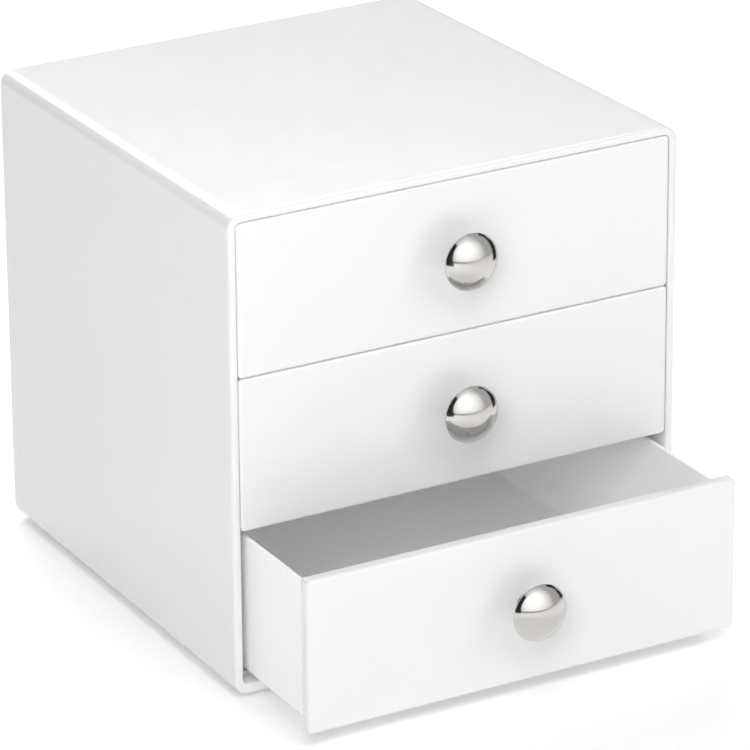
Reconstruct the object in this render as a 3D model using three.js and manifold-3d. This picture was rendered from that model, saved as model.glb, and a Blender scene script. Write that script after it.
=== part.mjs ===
// Desk organizer: a moulded case, open at the front, with three sliding drawers and their metal knobs.
// Millimetres. +X is to the right, +Y to the back, +Z up. The origin lies on the table, under the middle
// of the whole organizer, whose bottom drawer rests partly open.

import * as THREE from "three";
import { mergeVertices } from "three/addons/utils/BufferGeometryUtils.js";
import Module from "manifold-3d";

// The case, in its own frame: its front plane is y = 0 and its underside is z = 0.
const CASE_WIDTH = 165;
const CASE_HEIGHT = 165;
const CASE_DEPTH = 168;
const WALL = 2.7;
const SILL = 3.6;
const EDGE_RADIUS = 5;
const INNER_RADIUS = 2.2;
const SIDE_DRAFT = 2.2;
const TOP_DRAFT = 2.6;

// The drawers, from the bottom up.
const DRAWERS = [
  { name: "bottom", height: 53.1, open: 42.8 },
  { name: "middle", height: 52.2, open: 0 },
  { name: "top", height: 52.2, open: 0 },
];
const FRONT_GAP = 0.3;
const FRONT_THICKNESS = 4.2;
const FRONT_RADIUS = 1.4;
const SEAT_GAP = 0.3;

// A drawer's tray, behind its front.
const TRAY_HALF_WIDTH = 77.4;
const TRAY_DRAFT = 1.6;
const TRAY_WALL = 1.5;
const TRAY_RADIUS = 3;
const TRAY_LIFT = 1.25;
const TRAY_DROP = 2.75;
const BACK_CLEARANCE = 0.5;

// The ledges and floor ribs that the trays slide on.
const LEDGE_REACH = 71.5;
const LEDGE_THICKNESS = 2;
const LEDGE_START = 7;
const SLIDE_CLEARANCE = 0.35;
const RIB_INNER = 70;
const RIB_OUTER = 78.5;
const OVERCUT = 1;

// The knob and its fixing. Their profiles are measured outwards from the drawer front's face.
const KNOB_RISE = 1;
const KNOB_RADIUS = 9.8;
const KNOB_RIM_OUT = 9.4;
const KNOB_RIM_DEPTH = 0.8;
const KNOB_APEX = 14;
const NECK_RADIUS = 3.2;
const NECK_TOP = 6;
const FOOT_RADIUS = 3.6;
const FLANGE_TOP = 0.8;
const SCREW_RADIUS = 1.5;
const SCREW_TIP = 7.6;
const SCREW_CLEARANCE = 0.3;
const FIXING_HOLE_RADIUS = 2.1;
const WASHER_THICKNESS = 0.8;
const WASHER_RADIUS = 4.2;
const HEAD_RADIUS = 3.2;
const HEAD_HEIGHT = 2;
const HEAD_CROWN = 0.8;
const RECESS_LENGTH = 3.6;
const RECESS_WIDTH = 0.9;
const RECESS_DEPTH = 1.2;

// The feet under the case.
const PAD_RADIUS = 5;
const PAD_TOP_RADIUS = 4.6;
const PAD_HEIGHT = 1.2;
const PAD_INSET = 14;

// Fineness of the round shapes.
const CORNER_STEPS = 6;
const ROUND_STEPS = 32;
const DOME_STEPS = 6;
const NECK_STEPS = 5;

const LIFT = PAD_HEIGHT + SEAT_GAP;
const OPEN_AT_REST = Math.max(...DRAWERS.map((drawer) => drawer.open));
const FRONT_PLANE = (OPEN_AT_REST + KNOB_APEX - CASE_DEPTH) / 2;

const FINISHES = {
  white: { color: 0xf6f6f6, roughness: 0.2, metalness: 0 },
  chrome: { color: 0xd9d7d4, roughness: 0.08, metalness: 1 },
  steel: { color: 0xb4b4b2, roughness: 0.35, metalness: 1 },
  rubber: { color: 0xc8c8c6, roughness: 0.7, metalness: 0 },
};

const wasm = await Module();
wasm.setup();

/** A closed geometry as a manifold-3d solid, with its shared vertices merged. */
function toSolid(geometry) {
  const bare = geometry.clone();
  bare.deleteAttribute("normal");
  bare.deleteAttribute("uv");
  const merged = mergeVertices(bare, 1e-4);
  const vertProperties = new Float32Array(merged.attributes.position.array);
  const triVerts = new Uint32Array(merged.index.array);
  return new wasm.Manifold(new wasm.Mesh({ numProp: 3, vertProperties, triVerts }));
}

/** A manifold-3d solid as a three.js geometry. */
function toGeometry(solid) {
  const { vertProperties, triVerts } = solid.getMesh();
  const geometry = new THREE.BufferGeometry();
  geometry.setAttribute("position", new THREE.BufferAttribute(new Float32Array(vertProperties), 3));
  geometry.setIndex(new THREE.BufferAttribute(new Uint32Array(triVerts), 1));
  geometry.computeVertexNormals();
  return geometry;
}

/** A named mesh with one of the finishes. */
function piece(name, solid, finish) {
  const mesh = new THREE.Mesh(toGeometry(solid), new THREE.MeshStandardMaterial(FINISHES[finish]));
  mesh.name = name;
  return mesh;
}

/** A rectangle from (left, low) to (right, high) with round corners. */
function roundedRectangle(left, right, low, high, radius) {
  const shape = new THREE.Shape();
  shape.moveTo(left + radius, low);
  shape.lineTo(right - radius, low);
  shape.absarc(right - radius, low + radius, radius, -Math.PI / 2, 0);
  shape.lineTo(right, high - radius);
  shape.absarc(right - radius, high - radius, radius, 0, Math.PI / 2);
  shape.lineTo(left + radius, high);
  shape.absarc(left + radius, high - radius, radius, Math.PI / 2, Math.PI);
  shape.lineTo(left, low + radius);
  shape.absarc(left + radius, low + radius, radius, Math.PI, Math.PI * 1.5);
  shape.closePath();
  return shape;
}

/** A shape drawn upright in X and Z, carried along Y from front to back. */
function carriedBack(shape, front, back) {
  const geometry = new THREE.ExtrudeGeometry(shape, {
    depth: back - front,
    bevelEnabled: false,
    curveSegments: CORNER_STEPS,
  });
  return geometry.rotateX(Math.PI / 2).translate(0, back, 0);
}

/** Narrows a geometry towards its back, so that x and z shrink by these shares over this depth. */
function drafted(geometry, depth, sideShare, topShare) {
  const position = geometry.attributes.position;
  for (let i = 0; i < position.count; i++) {
    const part = position.getY(i) / depth;
    position.setX(i, position.getX(i) * (1 - part * sideShare));
    position.setZ(i, position.getZ(i) * (1 - part * topShare));
  }
  return geometry;
}

/** A box between two corners, as a solid. */
function boxBetween(low, high) {
  const size = high.map((value, i) => value - low[i]);
  const middle = high.map((value, i) => (value + low[i]) / 2);
  return toSolid(new THREE.BoxGeometry(...size).translate(...middle));
}

/** A profile of [radius, distance outwards] pairs, turned round the axis that points out of the front. */
function turned(profile) {
  const points = profile.map(([radius, out]) => new THREE.Vector2(radius, out));
  return toSolid(new THREE.LatheGeometry(points, ROUND_STEPS).rotateX(Math.PI));
}

/** A round bar along Y through (0, height), for a hole. */
function crossBar(radius, front, back, height) {
  const bar = new THREE.CylinderGeometry(radius, radius, back - front, ROUND_STEPS);
  return toSolid(bar.translate(0, (front + back) / 2, height));
}

/** The underside of each drawer front in the case, from the bottom up. */
function frontLevels() {
  let level = SILL + FRONT_GAP;
  return DRAWERS.map((drawer) => {
    const here = level;
    level += drawer.height + FRONT_GAP;
    return here;
  });
}

/** The case: four drafted walls and a back in one moulding, with a pair of ledges or ribs per drawer. */
function caseSolid(levels) {
  const sideShare = SIDE_DRAFT / (CASE_WIDTH / 2);
  const topShare = TOP_DRAFT / CASE_HEIGHT;
  const half = CASE_WIDTH / 2;
  const outline = roundedRectangle(-half, half, 0, CASE_HEIGHT, EDGE_RADIUS);
  const hollow = roundedRectangle(WALL - half, half - WALL, SILL, CASE_HEIGHT - WALL, INNER_RADIUS);
  const block = toSolid(drafted(carriedBack(outline, 0, CASE_DEPTH), CASE_DEPTH, sideShare, topShare));
  const cavity = carriedBack(hollow, -OVERCUT, CASE_DEPTH - WALL);
  let solid = block.subtract(toSolid(drafted(cavity, CASE_DEPTH, sideShare, topShare)));
  const back = CASE_DEPTH - WALL + OVERCUT;
  levels.forEach((level, i) => {
    const top = level + TRAY_LIFT - SLIDE_CLEARANCE;
    const onFloor = i === 0;
    const under = onFloor ? SILL - OVERCUT : top - LEDGE_THICKNESS;
    const inner = onFloor ? RIB_INNER : LEDGE_REACH;
    const outer = onFloor ? RIB_OUTER : half;
    const right = boxBetween([inner, LEDGE_START, under], [outer, back, top]);
    const left = boxBetween([-outer, LEDGE_START, under], [-inner, back, top]);
    solid = solid.add(right.intersect(block)).add(left.intersect(block));
  });
  return solid;
}

/** A drawer's front: a thick plate with round corners and a hole for the knob's screw. */
function frontSolid(height) {
  const half = CASE_WIDTH / 2 - WALL - FRONT_GAP;
  const shape = roundedRectangle(-half, half, 0, height, FRONT_RADIUS);
  const hole = crossBar(FIXING_HOLE_RADIUS, -OVERCUT, FRONT_THICKNESS + OVERCUT, knobLevel(height));
  return toSolid(carriedBack(shape, 0, FRONT_THICKNESS)).subtract(hole);
}

/** A drawer's tray: a thin open box, narrower at the back, screwed to the front through one wall. */
function traySolid(height) {
  const front = FRONT_THICKNESS + SEAT_GAP;
  const back = CASE_DEPTH - WALL - BACK_CLEARANCE;
  const low = TRAY_LIFT;
  const high = height - TRAY_DROP;
  const sideShare = TRAY_DRAFT / TRAY_HALF_WIDTH;
  const block = (inset, from, to) => {
    const half = TRAY_HALF_WIDTH - inset;
    const plan = roundedRectangle(-half, half, front + inset, back - inset, TRAY_RADIUS - inset);
    const geometry = new THREE.ExtrudeGeometry(plan, {
      depth: to - from,
      bevelEnabled: false,
      curveSegments: CORNER_STEPS,
    });
    return toSolid(drafted(geometry.translate(0, 0, from), back, sideShare, 0));
  };
  const hollow = block(TRAY_WALL, low + TRAY_WALL, high + OVERCUT);
  const hole = crossBar(FIXING_HOLE_RADIUS, front - OVERCUT, front + TRAY_WALL + OVERCUT, knobLevel(height));
  return block(0, low, high).subtract(hollow).subtract(hole);
}

/** The height of the knob's axis above the underside of its drawer front. */
function knobLevel(height) {
  return height / 2 + KNOB_RISE;
}

/** Where the washer's outer face lies, measured outwards from the drawer front's face. */
function washerOut() {
  return -(FRONT_THICKNESS + SEAT_GAP + TRAY_WALL + SEAT_GAP);
}

/** The knob: a flange, a neck that flares into a cap, a shallow dome, and a blind hole for the screw. */
function knobSolid() {
  const hole = SCREW_RADIUS + SCREW_CLEARANCE;
  const profile = [
    [0, SCREW_TIP + SCREW_CLEARANCE],
    [hole, SCREW_TIP + SCREW_CLEARANCE],
    [hole, SEAT_GAP],
    [FOOT_RADIUS, SEAT_GAP],
    [FOOT_RADIUS, FLANGE_TOP],
    [NECK_RADIUS, FLANGE_TOP + (FOOT_RADIUS - NECK_RADIUS) / 2],
    [NECK_RADIUS, NECK_TOP],
  ];
  const rimBack = KNOB_RIM_OUT - KNOB_RIM_DEPTH;
  for (let i = 1; i <= NECK_STEPS; i++) {
    const angle = (i / NECK_STEPS) * (Math.PI / 2);
    const radius = NECK_RADIUS + (KNOB_RADIUS - NECK_RADIUS) * (1 - Math.cos(angle));
    profile.push([radius, NECK_TOP + (rimBack - NECK_TOP) * Math.sin(angle)]);
  }
  const rise = KNOB_APEX - KNOB_RIM_OUT;
  const sphere = (KNOB_RADIUS ** 2 + rise ** 2) / (2 * rise);
  const widest = Math.asin(KNOB_RADIUS / sphere);
  for (let i = 0; i <= DOME_STEPS; i++) {
    const angle = widest * (1 - i / DOME_STEPS);
    profile.push([sphere * Math.sin(angle), KNOB_APEX - sphere * (1 - Math.cos(angle))]);
  }
  return turned(profile);
}

/** The washer between the screw's head and the tray's front wall. */
function washerSolid() {
  const inner = SCREW_RADIUS + SCREW_CLEARANCE;
  const face = washerOut();
  return turned([
    [inner, face - WASHER_THICKNESS],
    [WASHER_RADIUS, face - WASHER_THICKNESS],
    [WASHER_RADIUS, face],
    [inner, face],
    [inner, face - WASHER_THICKNESS],
  ]);
}

/** The knob's screw: a pan head with a cross recess, inside the tray, and a plain shank. */
function screwSolid() {
  const seat = washerOut() - WASHER_THICKNESS - SEAT_GAP;
  const crown = seat - HEAD_HEIGHT;
  const body = turned([
    [0, crown],
    [HEAD_RADIUS - HEAD_CROWN, crown],
    [HEAD_RADIUS, crown + HEAD_CROWN],
    [HEAD_RADIUS, seat],
    [SCREW_RADIUS, seat],
    [SCREW_RADIUS, SCREW_TIP - SCREW_RADIUS / 2],
    [SCREW_RADIUS / 2, SCREW_TIP],
    [0, SCREW_TIP],
  ]);
  const long = RECESS_LENGTH / 2;
  const narrow = RECESS_WIDTH / 2;
  const mouth = -crown + OVERCUT;
  const bottom = -crown - RECESS_DEPTH;
  const slot = boxBetween([-long, bottom, -narrow], [long, mouth, narrow]);
  const crossSlot = boxBetween([-narrow, bottom, -long], [narrow, mouth, long]);
  return body.subtract(slot).subtract(crossSlot);
}

/** One foot: a low round pad stuck under the case. */
function footSolid() {
  const pad = new THREE.CylinderGeometry(PAD_TOP_RADIUS, PAD_RADIUS, PAD_HEIGHT, ROUND_STEPS);
  return toSolid(pad.rotateX(Math.PI / 2));
}

/** A drawer: front, tray, knob, screw and washer, with the front's lower edge at the group's origin. */
function drawerGroup(drawer) {
  const group = new THREE.Group();
  group.add(piece(`drawer_front_${drawer.name}`, frontSolid(drawer.height), "white"));
  group.add(piece(`drawer_tray_${drawer.name}`, traySolid(drawer.height), "white"));
  const fixing = new THREE.Group();
  fixing.position.z = knobLevel(drawer.height);
  fixing.add(piece(`knob_${drawer.name}`, knobSolid(), "chrome"));
  fixing.add(piece(`knob_screw_${drawer.name}`, screwSolid(), "steel"));
  fixing.add(piece(`knob_washer_${drawer.name}`, washerSolid(), "steel"));
  group.add(fixing);
  return group;
}

const organizer = new THREE.Group();
const body = new THREE.Group();
body.position.set(0, FRONT_PLANE, LIFT);
organizer.add(body);

const levels = frontLevels();
body.add(piece("case_shell", caseSolid(levels), "white"));
DRAWERS.forEach((drawer, i) => {
  const group = drawerGroup(drawer);
  group.position.set(0, -drawer.open, levels[i]);
  body.add(group);
});

for (const [side, x] of [["left", -1], ["right", 1]]) {
  for (const [end, y] of [["front", PAD_INSET], ["rear", CASE_DEPTH - PAD_INSET]]) {
    const foot = piece(`foot_${end}_${side}`, footSolid(), "rubber");
    foot.position.set(x * (CASE_WIDTH / 2 - PAD_INSET), FRONT_PLANE + y, PAD_HEIGHT / 2);
    organizer.add(foot);
  }
}

export default organizer;
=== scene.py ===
import math

import bmesh
import bpy
import numpy as np
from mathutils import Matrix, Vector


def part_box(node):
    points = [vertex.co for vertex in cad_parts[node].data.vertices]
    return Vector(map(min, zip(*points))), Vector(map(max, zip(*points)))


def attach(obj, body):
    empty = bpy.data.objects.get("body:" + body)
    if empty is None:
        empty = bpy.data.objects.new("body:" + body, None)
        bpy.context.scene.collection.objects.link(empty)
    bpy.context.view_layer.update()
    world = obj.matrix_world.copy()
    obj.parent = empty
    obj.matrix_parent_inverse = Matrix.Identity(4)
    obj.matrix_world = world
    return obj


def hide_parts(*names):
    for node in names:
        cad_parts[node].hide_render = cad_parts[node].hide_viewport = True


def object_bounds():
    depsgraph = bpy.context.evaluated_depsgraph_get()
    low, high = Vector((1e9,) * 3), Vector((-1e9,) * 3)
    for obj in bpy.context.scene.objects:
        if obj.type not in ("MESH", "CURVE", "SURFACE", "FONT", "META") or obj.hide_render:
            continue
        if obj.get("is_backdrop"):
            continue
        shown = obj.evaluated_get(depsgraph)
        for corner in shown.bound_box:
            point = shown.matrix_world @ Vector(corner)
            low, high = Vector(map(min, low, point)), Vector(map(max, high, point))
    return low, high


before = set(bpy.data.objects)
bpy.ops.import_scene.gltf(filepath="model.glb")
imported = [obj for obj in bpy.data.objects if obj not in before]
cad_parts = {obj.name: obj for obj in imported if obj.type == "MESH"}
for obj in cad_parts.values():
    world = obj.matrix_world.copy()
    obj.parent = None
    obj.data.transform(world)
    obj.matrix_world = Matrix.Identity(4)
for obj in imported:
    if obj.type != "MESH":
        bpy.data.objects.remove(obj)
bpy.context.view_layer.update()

# ---------------------------------------------------------------- the case
# One injection moulding in glossy white plastic: four walls and a back, open at the front. Every wall leans
# in a little towards the back, so that it comes off its core, and the front rim is rolled over softly.

MM = 0.001
case_low, case_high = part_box("case_shell")
FRONT = case_low.y
DEPTH = case_high.y - case_low.y
BASE = case_low.z
HALF_WIDTH = case_high.x
HEIGHT = case_high.z - case_low.z
WALL = 2.7 * MM
SILL = 3.6 * MM
EDGE_RADIUS = 5 * MM
INNER_RADIUS = 2.2 * MM
SIDE_DRAFT = 2.2 * MM
TOP_DRAFT = 2.6 * MM
CORNER_STEPS = 14
LEAST_RADIUS = 0.3 * MM
MERGE_DISTANCE = 1e-7


def arc(centre, radius, start, end, steps=10):
    """Points of an arc: centre + radius (cos a, sin a), with a running evenly from start to end, in
    degrees."""
    a = np.radians(np.linspace(start, end, steps + 1))
    return np.stack([centre[0] + radius * np.cos(a), centre[1] + radius * np.sin(a)], 1)


def rounded_loops(left, right, low, high, radius, steps=CORNER_STEPS):
    """Rows of points round a rectangle: each corner's centre plus radius (cos a, sin a), over a quarter of
    a turn."""
    sides = [np.atleast_1d(np.asarray(v, float))[:, None] for v in (left, right, low, high, radius)]
    left, right, low, high, radius = np.broadcast_arrays(*sides)
    quarter = np.linspace(0, math.pi / 2, steps + 1)[None, :]
    corners = [
        (right - radius, low + radius, -math.pi / 2),
        (right - radius, high - radius, 0.0),
        (left + radius, high - radius, math.pi / 2),
        (left + radius, low + radius, math.pi),
    ]
    u = np.concatenate([cx + radius * np.cos(quarter + turn) for cx, cy, turn in corners], 1)
    v = np.concatenate([cy + radius * np.sin(quarter + turn) for cx, cy, turn in corners], 1)
    return u, v


def skin(name, grid, ring=False):
    """A closed surface through the rows of grid (rows, points, 3). Each row is a loop, and neighbouring
    rows are joined by quads. The first and last rows are capped, or joined to each other where ring is
    true."""
    rows, count = grid.shape[:2]
    index = np.arange(rows * count).reshape(rows, count)
    if ring:
        index = np.vstack([index, index[:1]])
    ahead = np.roll(index, -1, axis=1)
    quads = np.stack([index[:-1], ahead[:-1], ahead[1:], index[1:]], -1).reshape(-1, 4).tolist()
    if not ring:
        quads += [index[0, ::-1].tolist(), index[-1].tolist()]
    mesh = bpy.data.meshes.new(name)
    mesh.from_pydata(grid.reshape(-1, 3).tolist(), [], quads)
    made = bmesh.new()
    made.from_mesh(mesh)
    bmesh.ops.remove_doubles(made, verts=made.verts, dist=MERGE_DISTANCE)
    bmesh.ops.recalc_face_normals(made, faces=made.faces)
    made.to_mesh(mesh)
    made.free()
    mesh.polygons.foreach_set("use_smooth", np.ones(len(mesh.polygons), bool))
    return mesh


def place(name, mesh, material, body, slot, *nodes):
    """Puts a finished mesh into the scene with its material, riding on its body, in place of the CAD
    nodes named."""
    piece = bpy.data.objects.new(name, mesh)
    bpy.context.scene.collection.objects.link(piece)
    mesh.materials.append(material)
    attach(piece, body)
    if nodes:
        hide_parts(*nodes)


def group_of(name, inputs, outputs):
    """A new shader node group with float inputs, given as (name, starting value) pairs, and float outputs,
    given by name."""
    tree = bpy.data.node_groups.new(name, "ShaderNodeTree")
    for label, value in inputs:
        socket = tree.interface.new_socket(label, in_out="INPUT", socket_type="NodeSocketFloat")
        socket.default_value = value
    for label in outputs:
        tree.interface.new_socket(label, in_out="OUTPUT", socket_type="NodeSocketFloat")
    return tree, tree.nodes.new("NodeGroupInput"), tree.nodes.new("NodeGroupOutput")


def noise(tree, vector, scale, detail=3.0, roughness=0.5):
    """A noise texture at this scale, read at vector, from 0 to 1."""
    node = tree.nodes.new("ShaderNodeTexNoise")
    node.inputs["Scale"].default_value = scale
    node.inputs["Detail"].default_value = detail
    node.inputs["Roughness"].default_value = roughness
    tree.links.new(vector, node.inputs["Vector"])
    return node.outputs["Fac"]


def ramp(tree, value, low, high, to_low=0.0, to_high=1.0):
    """Maps value from low..high to to_low..to_high, held at both ends."""
    node = tree.nodes.new("ShaderNodeMapRange")
    for label, number in (("From Min", low), ("From Max", high), ("To Min", to_low), ("To Max", to_high)):
        node.inputs[label].default_value = number
    tree.links.new(value, node.inputs["Value"])
    return node.outputs["Result"]


def blend(tree, factor, first, second):
    """Mixes two (r, g, b) colours by factor. Among the Mix node's sockets of the same names, 6, 7 and 2 are
    the colour ones."""
    node = tree.nodes.new("ShaderNodeMix")
    node.data_type = "RGBA"
    tree.links.new(factor, node.inputs["Factor"])
    node.inputs[6].default_value = (*first, 1.0)
    node.inputs[7].default_value = (*second, 1.0)
    return node.outputs[2]


def add_bump(tree, height, distance, strength=1.0):
    """Turns a height into the normal of the tree's main shader, with this depth in metres."""
    bump = tree.nodes.new("ShaderNodeBump")
    bump.inputs["Distance"].default_value = distance
    bump.inputs["Strength"].default_value = strength
    tree.links.new(height, bump.inputs["Height"])
    tree.links.new(bump.outputs["Normal"], tree.nodes["Principled BSDF"].inputs["Normal"])


FLOW_SCALE = 18.0
HAZE_SCALE = 140.0
PEEL_SCALE = 420.0
PEEL_STRENGTH = 0.5


def moulded_surface():
    """Shader group for moulded plastic: faint flow mottling, a tool-polish waviness and fine handling
    haze. The haze shifts the roughness up and down by its own amount."""
    inputs = [("Roughness", 0.2), ("Haze", 0.05)]
    tree, entry, leave = group_of("moulded_surface", inputs, ["Flow", "Roughness", "Height"])
    where = tree.nodes.new("ShaderNodeTexCoord").outputs["Object"]
    flow = noise(tree, where, FLOW_SCALE, 2.0)
    haze = noise(tree, where, HAZE_SCALE, 4.0, 0.6)
    peel = noise(tree, where, PEEL_SCALE, 1.0)
    spread = tree.nodes.new("ShaderNodeMath")
    spread.operation = "MULTIPLY_ADD"
    tree.links.new(ramp(tree, haze, 0.35, 0.65, -1.0, 1.0), spread.inputs[0])
    tree.links.new(entry.outputs["Haze"], spread.inputs[1])
    tree.links.new(entry.outputs["Roughness"], spread.inputs[2])
    tree.links.new(ramp(tree, flow, 0.3, 0.7), leave.inputs["Flow"])
    tree.links.new(spread.outputs[0], leave.inputs["Roughness"])
    tree.links.new(peel, leave.inputs["Height"])
    return tree


MOULDED = moulded_surface()


def white_plastic(name, bright, dull, roughness, haze, peel):
    """Glossy white plastic: the flow mottling shifts it between two whites, and the peel gives it a
    bump."""
    material = bpy.data.materials.new(name)
    material.use_nodes = True
    tree = material.node_tree
    shader = tree.nodes["Principled BSDF"]
    surface = tree.nodes.new("ShaderNodeGroup")
    surface.node_tree = MOULDED
    surface.inputs["Roughness"].default_value = roughness
    surface.inputs["Haze"].default_value = haze
    tree.links.new(blend(tree, surface.outputs["Flow"], bright, dull), shader.inputs["Base Color"])
    tree.links.new(surface.outputs["Roughness"], shader.inputs["Roughness"])
    add_bump(tree, surface.outputs["Height"], peel, PEEL_STRENGTH)
    shader.inputs["IOR"].default_value = 1.5
    return material


case_plastic = white_plastic("case_plastic", (0.83, 0.83, 0.83), (0.82, 0.82, 0.822), 0.22, 0.02, 1e-5)

RIM_OUTER = 1.2 * MM
RIM_INNER = 0.6 * MM
BACK_RADIUS = 2.5 * MM
HOLD = 0.15 * MM


def case_profile():
    """The wall's section as (inset from the outer face, depth) pairs: back cap, outer face, rolled rim,
    inner face, inner back. Each bend is a quarter of a circle, and a point at HOLD past its end keeps its
    shading off the long flat beside it."""
    back_bend = arc((BACK_RADIUS, DEPTH - BACK_RADIUS), BACK_RADIUS, 90, 180)
    outer_rim = arc((RIM_OUTER, RIM_OUTER), RIM_OUTER, 180, 270)
    inner_rim = arc((WALL - RIM_INNER, RIM_INNER), RIM_INNER, 270, 360, 5)
    inner_back = DEPTH - WALL
    fillet = arc((WALL + INNER_RADIUS, inner_back - INNER_RADIUS), INNER_RADIUS, 180, 90)
    return np.vstack([
        [(BACK_RADIUS + HOLD, DEPTH)],
        back_bend,
        [(0, DEPTH - BACK_RADIUS - HOLD), (0, DEPTH / 2), (0, RIM_OUTER + HOLD)],
        outer_rim,
        inner_rim,
        [(WALL, RIM_INNER + HOLD), (WALL, DEPTH / 2), (WALL, inner_back - INNER_RADIUS - HOLD)],
        fillet,
        [(WALL + INNER_RADIUS + HOLD, inner_back)],
    ])


inset, depth = case_profile().T
share = depth / DEPTH
half = HALF_WIDTH - SIDE_DRAFT * share - inset
floor_inset = np.where(inset < WALL, inset * SILL / WALL, inset - WALL + SILL)
corner = np.interp(inset, [0, WALL, WALL + INNER_RADIUS], [EDGE_RADIUS, INNER_RADIUS, LEAST_RADIUS])
across, up = rounded_loops(-half, half, floor_inset, HEIGHT - TOP_DRAFT * share - inset, corner)
back = np.broadcast_to(depth[:, None], across.shape)
case_mesh = skin("case", np.stack([across, FRONT + back, BASE + up], -1))
place("case", case_mesh, case_plastic, "case", "white_plastic", "case_shell")

# ---------------------------------------------------------------- the ledges
# Six strips in the case's inner walls, part of the same moulding: two low ribs on the floor under the
# bottom tray, and a pair of ledges under each of the other trays. Their edges are softened by the tool.

TRAY_LIFT = 1.25 * MM
SLIDE_CLEARANCE = 0.35 * MM
LEDGE_REACH = 71.5 * MM
LEDGE_THICKNESS = 2 * MM
LEDGE_START = 7 * MM
RIB_INNER = 70 * MM
RIB_OUTER = 78.5 * MM
RIB_ROOT = 1 * MM
LEDGE_EDGE = 0.4 * MM


def strip(name, left, right, low, high, sink):
    """A bar along Y with rounded edges: a rounded rectangle in X and Z, drawn in by a quarter circle at the
    front end. It is sunk into the wall beside it, and follows the wall's draft with its outer side."""
    nose = arc((LEDGE_EDGE, LEDGE_EDGE), LEDGE_EDGE, 270, 180, 5)
    end = DEPTH - WALL + sink
    inset, depth = np.vstack([nose, [(0, LEDGE_EDGE + HOLD), (0, end - LEDGE_START)]]).T
    lean = SIDE_DRAFT * (depth + LEDGE_START) / DEPTH
    outer_left = left + inset + (lean if left < -RIB_OUTER else 0)
    outer_right = right - inset - (lean if right > RIB_OUTER else 0)
    across, up = rounded_loops(outer_left, outer_right, low + inset, high - inset, LEDGE_EDGE, 4)
    back = np.broadcast_to(depth[:, None], across.shape)
    grid = np.stack([across, FRONT + LEDGE_START + back, BASE + up], -1)
    place(name, skin(name, grid), case_plastic, "case", "white_plastic")


for row in ("bottom", "middle", "top"):
    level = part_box(f"drawer_front_{row}")[0].z - BASE
    top = level + TRAY_LIFT - SLIDE_CLEARANCE
    if row == "bottom":
        low, inner, outer = SILL - RIB_ROOT, RIB_INNER, RIB_OUTER
    else:
        low, inner, outer = top - LEDGE_THICKNESS, LEDGE_REACH, HALF_WIDTH - WALL / 2
    strip(f"ledge_{row}_right", inner, outer, low, top, WALL / 2)
    strip(f"ledge_{row}_left", -outer, -inner, low, top, WALL / 2)

# ---------------------------------------------------------------- the feet
# Four low pads of soft clear-grey polymer, cast with a slight taper and rounded edges. Each is stuck under
# a corner of the case, so that the organizer stands firm.

FOOT_EDGE = 0.3 * MM
FOOT_TAPER = 0.4 * MM


def turned(name, profile, centre, axis, steps, ring=False):
    """A turned body: its profile of (radius, distance along the axis) pairs carried round the axis through
    centre. A point is centre + distance * axis + radius (cos a, sin a) in the plane across the axis."""
    axis = np.asarray(axis, float)
    side = np.array([1.0, 0.0, 0.0])
    other = np.cross(axis, side)
    a = np.linspace(0, 2 * math.pi, steps, endpoint=False)[None, :, None]
    radius, along = profile[:, 0, None, None], profile[:, 1, None, None]
    round_axis = np.cos(a) * side + np.sin(a) * other
    return skin(name, np.asarray(centre) + along * axis + radius * round_axis, ring)


def soft_polymer():
    """Satin grey polymer with a faint cloudiness and a fine cast texture."""
    material = bpy.data.materials.new("foot_polymer")
    material.use_nodes = True
    tree = material.node_tree
    shader = tree.nodes["Principled BSDF"]
    where = tree.nodes.new("ShaderNodeTexCoord").outputs["Object"]
    cloud = ramp(tree, noise(tree, where, 220.0), 0.3, 0.7)
    grain = noise(tree, where, 1800.0, 2.0)
    tree.links.new(blend(tree, cloud, (0.52, 0.52, 0.51), (0.6, 0.6, 0.59)), shader.inputs["Base Color"])
    tree.links.new(ramp(tree, grain, 0.2, 0.8, 0.4, 0.6), shader.inputs["Roughness"])
    add_bump(tree, grain, 2e-5)
    return material


foot_polymer = soft_polymer()
for corner_name in ("front_left", "front_right", "rear_left", "rear_right"):
    low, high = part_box(f"foot_{corner_name}")
    radius, tall = (high.x - low.x) / 2, high.z - low.z
    bend_at = radius - FOOT_EDGE
    profile = np.vstack([
        [(0, 0), (bend_at - HOLD, 0)],
        arc((bend_at, FOOT_EDGE), FOOT_EDGE, -90, 0, 5),
        arc((bend_at - FOOT_TAPER, tall - FOOT_EDGE), FOOT_EDGE, 0, 90, 5),
        [(bend_at - FOOT_TAPER - HOLD, tall), (0, tall)],
    ])
    centre = ((low.x + high.x) / 2, (low.y + high.y) / 2, low.z)
    mesh = turned(f"pad_{corner_name}", profile, centre, (0, 0, 1), steps=64)
    place(f"pad_{corner_name}", mesh, foot_polymer, "case", "foot_rubber", f"foot_{corner_name}")

# ---------------------------------------------------------------- the drawer fronts
# A thick glossy plate for each drawer, let into the case's opening with a fine gap all round. Its face's
# edges are rolled over, its corners follow the opening's, and a hole behind the knob takes the screw.

front_plastic = white_plastic("front_plastic", (0.83, 0.83, 0.83), (0.82, 0.82, 0.821), 0.16, 0.03, 1.5e-5)
FRONT_RADIUS = 1.4 * MM
FACE_EDGE = 1 * MM
REAR_EDGE = 0.5 * MM
HOLE_RADIUS = 2.1 * MM
HOLE_EDGE = 0.2 * MM


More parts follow.
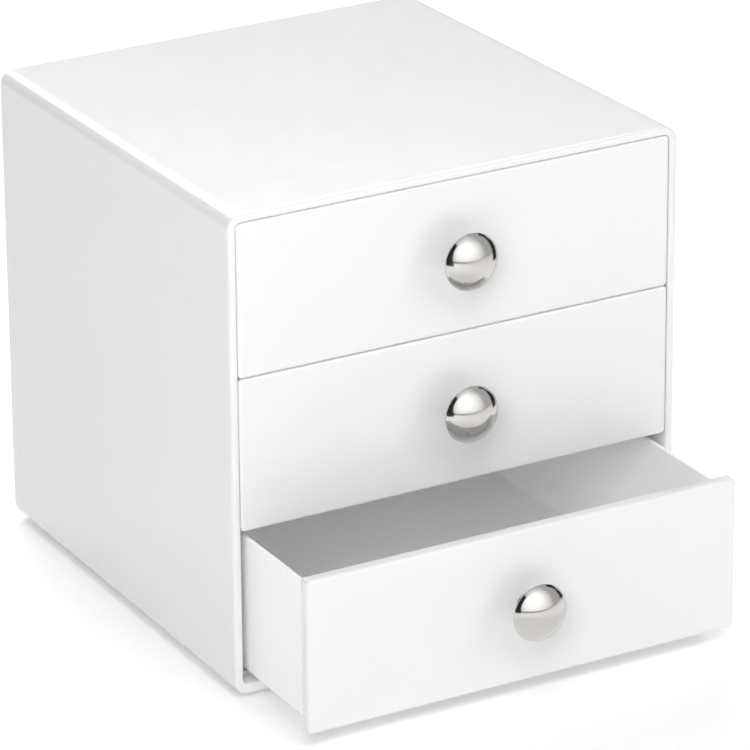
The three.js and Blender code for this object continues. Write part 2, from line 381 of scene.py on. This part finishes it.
def hole_rows(rays, middle, mouth, inward):
    """Rows of a hole's rolled edge and of the flat ring round it: middle + radius along the rays, at a
    depth that turns a quarter circle of HOLE_EDGE from the hole's wall onto the face at mouth."""
    turn = arc((HOLE_RADIUS + HOLE_EDGE, HOLE_EDGE), HOLE_EDGE, 180, 270, 3)
    radius = np.append(turn[:, 0], HOLE_RADIUS + HOLE_EDGE + HOLD)[:, None]
    depth = mouth + inward * np.append(turn[:, 1], 0)[:, None]
    depth = np.broadcast_to(depth, (len(radius), len(rays)))
    return np.stack([radius * rays[:, 0], depth, middle + radius * rays[:, 1]], -1)


def front_plate(name, low, high, knob_height):
    """A plate with a hole, as a ring-shaped surface: rows run from the hole's wall out over the face,
    round the rolled edge, over the back and into the hole again. The face's rows join circles round the
    hole, taken in the outline's own directions, to rounded rectangles inset from the outline."""
    thick = high.y - low.y
    section = np.vstack([
        [(FACE_EDGE + HOLD, 0)],
        arc((FACE_EDGE, FACE_EDGE), FACE_EDGE, 270, 180),
        [(0, FACE_EDGE + HOLD)],
        arc((REAR_EDGE, thick - REAR_EDGE), REAR_EDGE, 180, 90, 5),
        [(REAR_EDGE + HOLD, thick)],
    ])
    inset, depth = section.T
    corner = np.clip(FRONT_RADIUS - inset, LEAST_RADIUS, None)
    across, up = rounded_loops(low.x + inset, high.x - inset, low.z + inset, high.z - inset, corner)
    outline = np.stack([across, low.y + np.broadcast_to(depth[:, None], across.shape), up], -1)
    rays = np.stack([across[0], up[0] - knob_height], -1)
    rays /= np.linalg.norm(rays, axis=1, keepdims=True)
    mouth = hole_rows(rays, knob_height, low.y, 1)
    outlet = hole_rows(rays, knob_height, high.y, -1)
    return skin(name, np.concatenate([mouth, outline, outlet[::-1]]), ring=True)


for row in ("bottom", "middle", "top"):
    low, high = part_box(f"drawer_front_{row}")
    knob_low, knob_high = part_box(f"knob_{row}")
    mesh = front_plate(f"front_{row}", low, high, (knob_low.z + knob_high.z) / 2)
    place(f"front_{row}", mesh, front_plastic, f"{row}_drawer", "white_plastic", f"drawer_front_{row}")

# ---------------------------------------------------------------- the trays
# A thin-walled open box behind each front, moulded in white: narrower at its back and at its foot, with a
# rounded lower edge outside, a fillet round its floor inside, and a softly rounded rim.

tray_plastic = white_plastic("tray_plastic", (0.97, 0.97, 0.97), (0.96, 0.96, 0.962), 0.36, 0.04, 2e-5)
TRAY_DRAFT = 1.6 * MM
TRAY_WALL = 1.5 * MM
TRAY_FOOT = 3 * MM
TRAY_FILLET = 2 * MM
TRAY_CORNER = 3 * MM
TRAY_LEAST_CORNER = 0.9 * MM
RIM_BEND = 0.55 * MM
WALL_LEAN = 0.3 * MM


def tray(name, low, high):
    """An open box as one surface: rows of rounded rectangles from under the floor, round the foot, up the
    outside, over the rim, down the inside, round the fillet and onto the floor. Its width falls evenly with
    the distance from its front, and the walls lean in by a little towards the floor."""
    tall = high.z - low.z
    foot = arc((TRAY_FOOT, TRAY_FOOT), TRAY_FOOT, 270, 180)
    rim_out = arc((RIM_BEND, tall - RIM_BEND), RIM_BEND, 180, 90, 5)
    rim_in = arc((TRAY_WALL - RIM_BEND, tall - RIM_BEND), RIM_BEND, 90, 0, 5)
    fillet_at = TRAY_WALL + TRAY_FILLET
    fillet = arc((fillet_at, fillet_at), TRAY_FILLET, 180, 270)
    section = np.vstack([
        [(TRAY_FOOT + HOLD, 0)],
        foot,
        [(0, TRAY_FOOT + HOLD), (0, tall - RIM_BEND - HOLD)],
        rim_out,
        rim_in,
        [(TRAY_WALL, tall - RIM_BEND - HOLD), (TRAY_WALL, fillet_at + HOLD)],
        fillet,
        [(fillet_at + HOLD, TRAY_WALL)],
    ])
    inset, rise = section.T
    inset = inset + WALL_LEAN * (1 - rise / tall)
    half = high.x
    corner = np.clip(TRAY_CORNER - inset, TRAY_LEAST_CORNER, None)
    across, along = rounded_loops(inset - half, half - inset, low.y + inset, high.y - inset, corner)
    across = across * (1 - TRAY_DRAFT / half * (along - low.y) / (high.y - low.y))
    height = np.broadcast_to(low.z + rise[:, None], across.shape)
    return skin(name, np.stack([across, along, height], -1))


for row in ("bottom", "middle", "top"):
    low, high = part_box(f"drawer_tray_{row}")
    mesh = tray(f"tray_{row}", low, high)
    place(f"tray_{row}", mesh, tray_plastic, f"{row}_drawer", "white_plastic", f"drawer_tray_{row}")

# ---------------------------------------------------------------- the knobs
# A round knob for each drawer, die-cast and plated bright: a low flange on the front's face, a narrow neck
# that flares under the cap, a thin rolled rim and a shallow dome. A blind hole in its foot takes the screw.

KNOB_APEX = 14 * MM
KNOB_RIM_OUT = 9.4 * MM
KNOB_RIM_ROLL = 0.45 * MM
NECK_RADIUS = 3.2 * MM
NECK_TOP = 6 * MM
FLANGE_RADIUS = 3.6 * MM
FLANGE_TOP = 0.8 * MM
FLANGE_EDGE = 0.2 * MM
NECK_FILLET = 0.2 * MM
KNOB_BORE = 1.8 * MM
BORE_END = 7.9 * MM
SEAT = 0.3 * MM
FLARE_POINTS = 13
DOME_STEPS = 28


def knob_profile(radius):
    """The knob's half section as (radius, distance out) pairs: bore, flange, neck, a quarter of an ellipse
    under the cap, the rolled rim, and the dome, an arc of the circle through the rim and the apex. Where
    two stretches meet, the later one starts a little way along, so that no point is doubled."""
    rise = KNOB_APEX - KNOB_RIM_OUT
    sphere = (radius**2 + rise**2) / (2 * rise)
    edge = math.degrees(math.asin(radius / sphere))
    roll_at = radius - KNOB_RIM_ROLL
    under = KNOB_RIM_OUT - 2 * KNOB_RIM_ROLL
    turn = np.radians(np.linspace(0, 90, FLARE_POINTS))
    flare = np.stack([
        NECK_RADIUS + (roll_at - NECK_RADIUS) * (1 - np.cos(turn)),
        NECK_TOP + (under - NECK_TOP) * np.sin(turn),
    ], 1)
    dome = arc((0, KNOB_APEX - sphere), sphere, 90 - edge, 90, DOME_STEPS)
    roll = arc((roll_at, KNOB_RIM_OUT - KNOB_RIM_ROLL), KNOB_RIM_ROLL, -80, 90 - edge, 8)
    flange_at = FLANGE_RADIUS - FLANGE_EDGE
    return np.vstack([
        [(0, BORE_END), (KNOB_BORE, BORE_END), (KNOB_BORE, SEAT), (flange_at, SEAT)],
        arc((flange_at, SEAT + FLANGE_EDGE), FLANGE_EDGE, -80, 0, 4),
        arc((flange_at, FLANGE_TOP - FLANGE_EDGE), FLANGE_EDGE, 0, 90, 4),
        arc((NECK_RADIUS + NECK_FILLET, FLANGE_TOP + NECK_FILLET), NECK_FILLET, 265, 180, 6),
        flare,
        roll,
        dome[2:],
    ])


def plated_metal():
    """Bright nickel and chrome plate: a mirror with a faint warm cast, fine polishing haze and soft
    ripples."""
    material = bpy.data.materials.new("plated_metal")
    material.use_nodes = True
    tree = material.node_tree
    shader = tree.nodes["Principled BSDF"]
    shader.inputs["Metallic"].default_value = 1.0
    where = tree.nodes.new("ShaderNodeTexCoord").outputs["Object"]
    cast = ramp(tree, noise(tree, where, 90.0, 2.0), 0.3, 0.7)
    haze = noise(tree, where, 900.0, 4.0, 0.6)
    ripple = noise(tree, where, 160.0, 1.0)
    colour = blend(tree, cast, (0.6, 0.587, 0.57), (0.575, 0.562, 0.545))
    tree.links.new(colour, shader.inputs["Base Color"])
    tree.links.new(ramp(tree, haze, 0.3, 0.7, 0.1, 0.16), shader.inputs["Roughness"])
    add_bump(tree, ripple, 6e-6)
    return material


plated = plated_metal()
for row in ("bottom", "middle", "top"):
    low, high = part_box(f"knob_{row}")
    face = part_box(f"drawer_front_{row}")[0].y
    centre = ((low.x + high.x) / 2, face, (low.z + high.z) / 2)
    mesh = turned(f"pull_{row}", knob_profile((high.x - low.x) / 2), centre, (0, -1, 0), steps=128)
    place(f"pull_{row}", mesh, plated, f"{row}_drawer", "knob_metal", f"knob_{row}")

# ---------------------------------------------------------------- the screws and washers
# Inside each tray, a zinc-plated pan-head screw with a cross recess draws the knob, the front and the
# tray's front wall together over a flat washer. The screws are the CAD's own, with the zinc on them.


def zinc_plate():
    """Dull bright zinc: fine scratches and a patchy bluish tint over bare grey."""
    material = bpy.data.materials.new("zinc_plate")
    material.use_nodes = True
    tree = material.node_tree
    shader = tree.nodes["Principled BSDF"]
    shader.inputs["Metallic"].default_value = 1.0
    where = tree.nodes.new("ShaderNodeTexCoord").outputs["Object"]
    patch = ramp(tree, noise(tree, where, 500.0), 0.3, 0.7)
    scratch = noise(tree, where, 2600.0, 4.0, 0.7)
    tree.links.new(blend(tree, patch, (0.55, 0.56, 0.58), (0.62, 0.61, 0.58)), shader.inputs["Base Color"])
    tree.links.new(ramp(tree, scratch, 0.3, 0.7, 0.25, 0.45), shader.inputs["Roughness"])
    add_bump(tree, scratch, 5e-6)
    return material


zinc = zinc_plate()
WASHER_BORE = 1.8 * MM
WASHER_EDGE = 0.2 * MM
for row in ("bottom", "middle", "top"):
    low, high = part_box(f"knob_washer_{row}")
    radius, thick = (high.x - low.x) / 2, high.y - low.y
    corners = rounded_loops(WASHER_BORE, radius, 0, thick, WASHER_EDGE, 4)
    section = np.stack([corners[0][0], corners[1][0]], 1)
    centre = ((low.x + high.x) / 2, low.y, (low.z + high.z) / 2)
    mesh = turned(f"washer_{row}", section, centre, (0, 1, 0), steps=64, ring=True)
    place(f"washer_{row}", mesh, zinc, f"{row}_drawer", "fixing_steel", f"knob_washer_{row}")
    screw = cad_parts[f"knob_screw_{row}"]
    screw.data.materials.clear()
    screw.data.materials.append(zinc)

# ---------------------------------------------------------------- the floor and the light
# A plain white table, lit a little from within. One softbox washes it from the rear, and four more light
# it from overhead, from above in front, from the left as the key, and from the right as the fill.

FLOOR_HALF = 4.0


def plain_paint(name, brightness, glow=0.0):
    """A matt paint of one plain grey for the studio, which may glow faintly."""
    material = bpy.data.materials.new(name)
    material.use_nodes = True
    shader = material.node_tree.nodes["Principled BSDF"]
    shader.inputs["Base Color"].default_value = (brightness, brightness, brightness, 1)
    shader.inputs["Roughness"].default_value = 0.9
    shader.inputs["Specular IOR Level"].default_value = 0.1
    shader.inputs["Emission Color"].default_value = (1, 1, 1, 1)
    shader.inputs["Emission Strength"].default_value = glow
    return material


def studio_sheet(name, corners, material):
    """One flat quad through four corners, which is part of the studio."""
    mesh = bpy.data.meshes.new(name)
    mesh.from_pydata(corners, [], [(0, 1, 2, 3)])
    mesh.materials.append(material)
    sheet = bpy.data.objects.new(name, mesh)
    bpy.context.scene.collection.objects.link(sheet)
    sheet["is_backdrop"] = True
    return sheet


ground = [(x * FLOOR_HALF, y * FLOOR_HALF, 0) for x, y in ((-1, -1), (1, -1), (1, 1), (-1, 1))]
studio_sheet("floor", ground, plain_paint("floor_paint", 0.96, glow=0.07))


def soft_light(name, place_at, aim, size, power):
    """A rectangular softbox at place_at, facing aim, of this size in metres and power in watts."""
    data = bpy.data.lights.new(name, "AREA")
    data.shape = "RECTANGLE"
    data.size, data.size_y = size
    data.energy = power
    lamp = bpy.data.objects.new(name, data)
    lamp.location = place_at
    lamp.rotation_euler = (Vector(aim) - Vector(place_at)).to_track_quat("-Z", "Y").to_euler()
    bpy.context.scene.collection.objects.link(lamp)
    return lamp


# Only the rear wash shows in reflections. The overhead's aim is a hair off the vertical, so that its sides
# stay along X and Y.
soft_light("rear_wash", (0.4, 1.65, 1.5), (0.25, 0.7, 0), (1.9, 1.0), 38)
for name, at, aim, size, power in (
    ("overhead", (0.7, 0.25, 1.55), (0.7, 0.2499, 0), (3.7, 2.4), 7.5),
    ("front_top", (-0.3, -0.85, 1.45), (0, -0.05, 0.05), (1.2, 0.7), 10.5),
    ("key", (-0.75, -0.75, 0.6), (0, 0, 0.08), (0.5, 0.5), 5.2),
    ("fill", (1.6, -1.6, 1.2), (0, 0, 0.09), (1.4, 1.8), 18),
):
    lamp = soft_light(name, at, aim, size, power)
    lamp.visible_glossy = False

# The silk is three sheets: a front, a wing on the right and a canopy. It is lit from behind, brightest on
# the front to the left of its middle, and dimmer away from there. Only reflections show it.
SILK_HOT = 2.1
SILK_DIM = 0.6
HOT_SPOT = (-0.3, -1.6, 1.2)
HOT_REACH = 0.2
DIM_REACH = 2.4


def lit_cloth():
    """Cloth that glows with SILK_HOT near the hot spot and falls evenly with the distance to SILK_DIM."""
    material = bpy.data.materials.new("silk_cloth")
    material.use_nodes = True
    tree = material.node_tree
    shader = tree.nodes["Principled BSDF"]
    away = tree.nodes.new("ShaderNodeVectorMath")
    away.operation = "DISTANCE"
    away.inputs[1].default_value = HOT_SPOT
    tree.links.new(tree.nodes.new("ShaderNodeTexCoord").outputs["Object"], away.inputs[0])
    glow = ramp(tree, away.outputs["Value"], HOT_REACH, DIM_REACH, SILK_HOT, SILK_DIM)
    tree.links.new(glow, shader.inputs["Emission Strength"])
    shader.inputs["Emission Color"].default_value = (1, 1, 1, 1)
    shader.inputs["Base Color"].default_value = (0, 0, 0, 1)
    shader.inputs["Specular IOR Level"].default_value = 0
    return material


def reflected_only(sheet):
    """Hides a sheet of the studio from everything but reflections."""
    sheet.visible_camera = False
    sheet.visible_diffuse = False
    sheet.visible_shadow = False
    sheet.visible_transmission = False


silk_cloth = lit_cloth()
silk_sheets = (
    ("silk_front", [(-1.76, -1.6, 0.12), (2.45, -1.6, 0.03), (2.45, -1.6, 2.65), (-1.76, -1.6, 2.65)]),
    ("silk_wing", [(2.45, -1.6, 0.03), (2.6, -0.5, 0.03), (2.6, -0.5, 2.65), (2.45, -1.6, 2.65)]),
    ("silk_canopy", [(-1.76, -1.6, 2.65), (2.6, -1.6, 2.65), (2.6, 0.6, 2.8), (-1.4, 0.6, 2.8)]),
)
for name, corners in silk_sheets:
    reflected_only(studio_sheet(name, corners, silk_cloth))

# Two low black cards beside the set give the plated knobs their dark edges. Only reflections show them.
CARD_FOOT = 0.001
CARD_HEIGHT = 0.13
card_paint = plain_paint("card_paint", 0.02)
for side, near, far in (("left", (-0.60, -0.10), (-0.40, -0.44)), ("right", (0.41, -0.14), (0.41, 0.16))):
    corners = [(*near, CARD_FOOT), (*far, CARD_FOOT), (*far, CARD_HEIGHT), (*near, CARD_HEIGHT)]
    reflected_only(studio_sheet(f"card_{side}", corners, card_paint))

AMBIENT = 0.03
world = bpy.data.worlds.new("studio")
world.use_nodes = True
background = world.node_tree.nodes["Background"]
background.inputs["Color"].default_value = (1, 1, 1, 1)
background.inputs["Strength"].default_value = AMBIENT
bpy.context.scene.world = world
bpy.context.scene.view_settings.view_transform = "Standard"

# Light passes many times between the white walls inside a drawer, so it is followed through more bounces.
bpy.context.scene.cycles.max_bounces = 16
bpy.context.scene.cycles.diffuse_bounces = 12

# ---------------------------------------------------------------- the camera
# A long lens that looks down on the organizer from its left, aimed near the middle of the case. It stands
# about 1.8 m away, so that edges which run back draw together only slightly. Its angles are in radians.

AZIMUTH = -0.512
ELEVATION = 0.394
ROLL = -0.008
DISTANCE = 1.78275
AIM = np.array([0.0032, FRONT + 0.06, BASE + 0.0727])
LENS = 257.424
SENSOR = 36.0
VIEW_END = 50.0

back_way = np.array([
    math.sin(AZIMUTH) * math.cos(ELEVATION),
    -math.cos(AZIMUTH) * math.cos(ELEVATION),
    math.sin(ELEVATION),
])
level_right = np.array([math.cos(AZIMUTH), math.sin(AZIMUTH), 0.0])
level_up = np.cross(back_way, level_right)
right_way = level_right * math.cos(ROLL) + level_up * math.sin(ROLL)
up_way = np.cross(back_way, right_way)
camera_data = bpy.data.cameras.new("camera")
camera_data.lens = LENS
camera_data.sensor_width = SENSOR
camera_data.clip_end = VIEW_END
camera = bpy.data.objects.new("camera", camera_data)
pose = np.eye(4)
pose[:3] = np.stack([right_way, up_way, back_way, AIM + back_way * DISTANCE], 1)
camera.matrix_world = Matrix(pose.tolist())
bpy.context.scene.collection.objects.link(camera)
bpy.context.scene.camera = camera

low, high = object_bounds()
